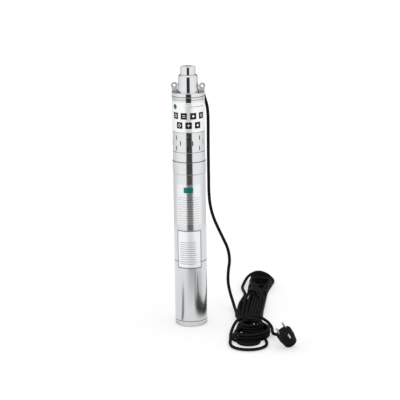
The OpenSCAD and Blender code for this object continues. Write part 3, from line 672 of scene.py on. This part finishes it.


# Pale round floor with painted shade that only glossy rays see, so the steel mirrors it greyer
# A patch is painted shade, seen darker in the steel: the turns, in degrees from the front to the right,
# where it starts, is full, wanes and is gone, the same for its reach from the pump, and its depth
floorSpec = {
    "reach": 0.92,
    "sides": 96,
    "pales": ((0.90, 0.90, 0.90), (0.91, 0.91, 0.91)),
    "cloud": 3.0,
    "roughness": 0.9,
    "reflectedShade": (0.05, 0.05, 0.053),
    "greyed": 0.14,
    "shadePatches": (
        (-66, -60, -52, -46, 0.06, 0.1, 0.27, 0.4, 0.86),
        (16, 34, 66, 95, 0.09, 0.2, 0.45, 0.7, 0.3),
        (-46, 6, 26, 44, 0.15, 0.45, 0.8, 0.9, 0.36),
        (-26, -15, 17, 28, 0.5, 0.7, 0.95, 0.97, 0.5),
    ),
    "lift": 0.5,  # share of plain white that the camera sees
}


def makeFloor(spec):
    mesh = bpy.data.meshes.new("floor")
    angles = [2 * pi * side / spec["sides"] for side in range(spec["sides"])]
    ring = [(spec["reach"] * cos(angle), spec["reach"] * sin(angle), 0) for angle in angles]
    mesh.from_pydata(ring, [], [list(range(spec["sides"]))])
    floor = bpy.data.objects.new("floor", mesh)
    scene.collection.objects.link(floor)
    material, shop, place = newMaterial("paleFloor")
    camera, glossy = lightPath(shop)
    x, y = parted(shop, place)[:2]
    turn = x.math("ARCTAN2", y * -1) / radians(1)
    reach = (x * x + y * y).root()
    grey = spec["greyed"]
    for start, full, wane, gone, near, nearer, far, farther, depth in spec["shadePatches"]:
        turned = turn.ramp(start, full, 0.0, depth).both(turn.ramp(wane, gone, 1.0, 0.0))
        grey = grey + turned.both(reach.ramp(near, nearer)).both(reach.ramp(far, farther, 1.0, 0.0))
    pale = shop.colours(shop.noise(place, spec["cloud"]), *[rgba(shade) for shade in spec["pales"]])
    # Painted shade and dark reflections, seen only by glossy rays
    colour = shop.colours(glossy * grey, pale, rgba(spec["reflectedShade"]))
    sockets = {"Base Color": colour, "Roughness": spec["roughness"]}
    surface = shop.make("ShaderNodeBsdfPrincipled", {}, sockets)
    white = shop.make("ShaderNodeEmission", {}, {"Color": (1, 1, 1, 1), "Strength": 1.0})
    mixed = shop.make("ShaderNodeMixShader", {}, {0: camera * spec["lift"], 1: surface, 2: white})
    shop.make("ShaderNodeOutputMaterial", {}, {"Surface": mixed})
    mesh.materials.append(material)


# Light tent with a slit open to the front, dimmer flanks and a dark screen behind the pump
# Heights are those of the direction looked in, from -1 straight down to 1 straight up
tentSpec = {
    "wall": 1.02,
    "flank": (radians(60), radians(150), 0.30),
    "slitAt": radians(1.5),
    "slitFade": (-0.28, -0.15),
    "slitHalf": (radians(25), radians(17.5)),
    "slitShade": (0.085, 0.018),
    "slitEdge": 0.045,
    "slitTop": (0.25, 0.4),
    "screenSide": (radians(75), radians(115)),
    "screenFoot": (0.0, 0.06),
    "screenTop": (0.4, 0.6),
    "screenDepth": 0.85,
    "ambient": 1.16,
    "backdrop": 1.1,
}


def makeWorld(spec):
    world = bpy.data.worlds.new("tent")
    world.use_nodes = True
    scene.world = world
    shop = Shop(world.node_tree)
    x, y, z = parted(shop, shop.make("ShaderNodeTexCoord", {}, (), "Generated"))
    side = abs(x.math("ARCTAN2", y * -1) - spec["slitAt"])
    edge = side - z.ramp(*spec["slitFade"], *spec["slitHalf"])
    opening = edge.ramp(-spec["slitEdge"], spec["slitEdge"], 1.0, 0.0)
    opening = opening.both(z.ramp(*spec["slitTop"], 1.0, 0.0))
    shade = z.ramp(*spec["slitFade"], *spec["slitShade"])
    screen = side.ramp(*spec["screenSide"]).both(z.ramp(*spec["screenFoot"]))
    screen = screen.both(z.ramp(*spec["screenTop"], 1.0, 0.0))
    front, back, dimmed = spec["flank"]
    wall = (spec["wall"] - side.ramp(front, back) * dimmed) * (1.0 - screen * spec["screenDepth"])
    inside = wall * (1.0 - opening) + opening * shade
    camera, glossy = lightPath(shop)
    lit = glossy * inside + (1.0 - glossy) * spec["ambient"]
    strength = camera * spec["backdrop"] + (1.0 - camera) * lit
    background = shop.make("ShaderNodeBackground", {}, {"Color": (1, 1, 1, 1), "Strength": strength})
    shop.make("ShaderNodeOutputWorld", {}, {"Surface": background})


makeFloor(floorSpec)
makeWorld(tentSpec)
print("stage set")

bpy.context.view_layer.update()
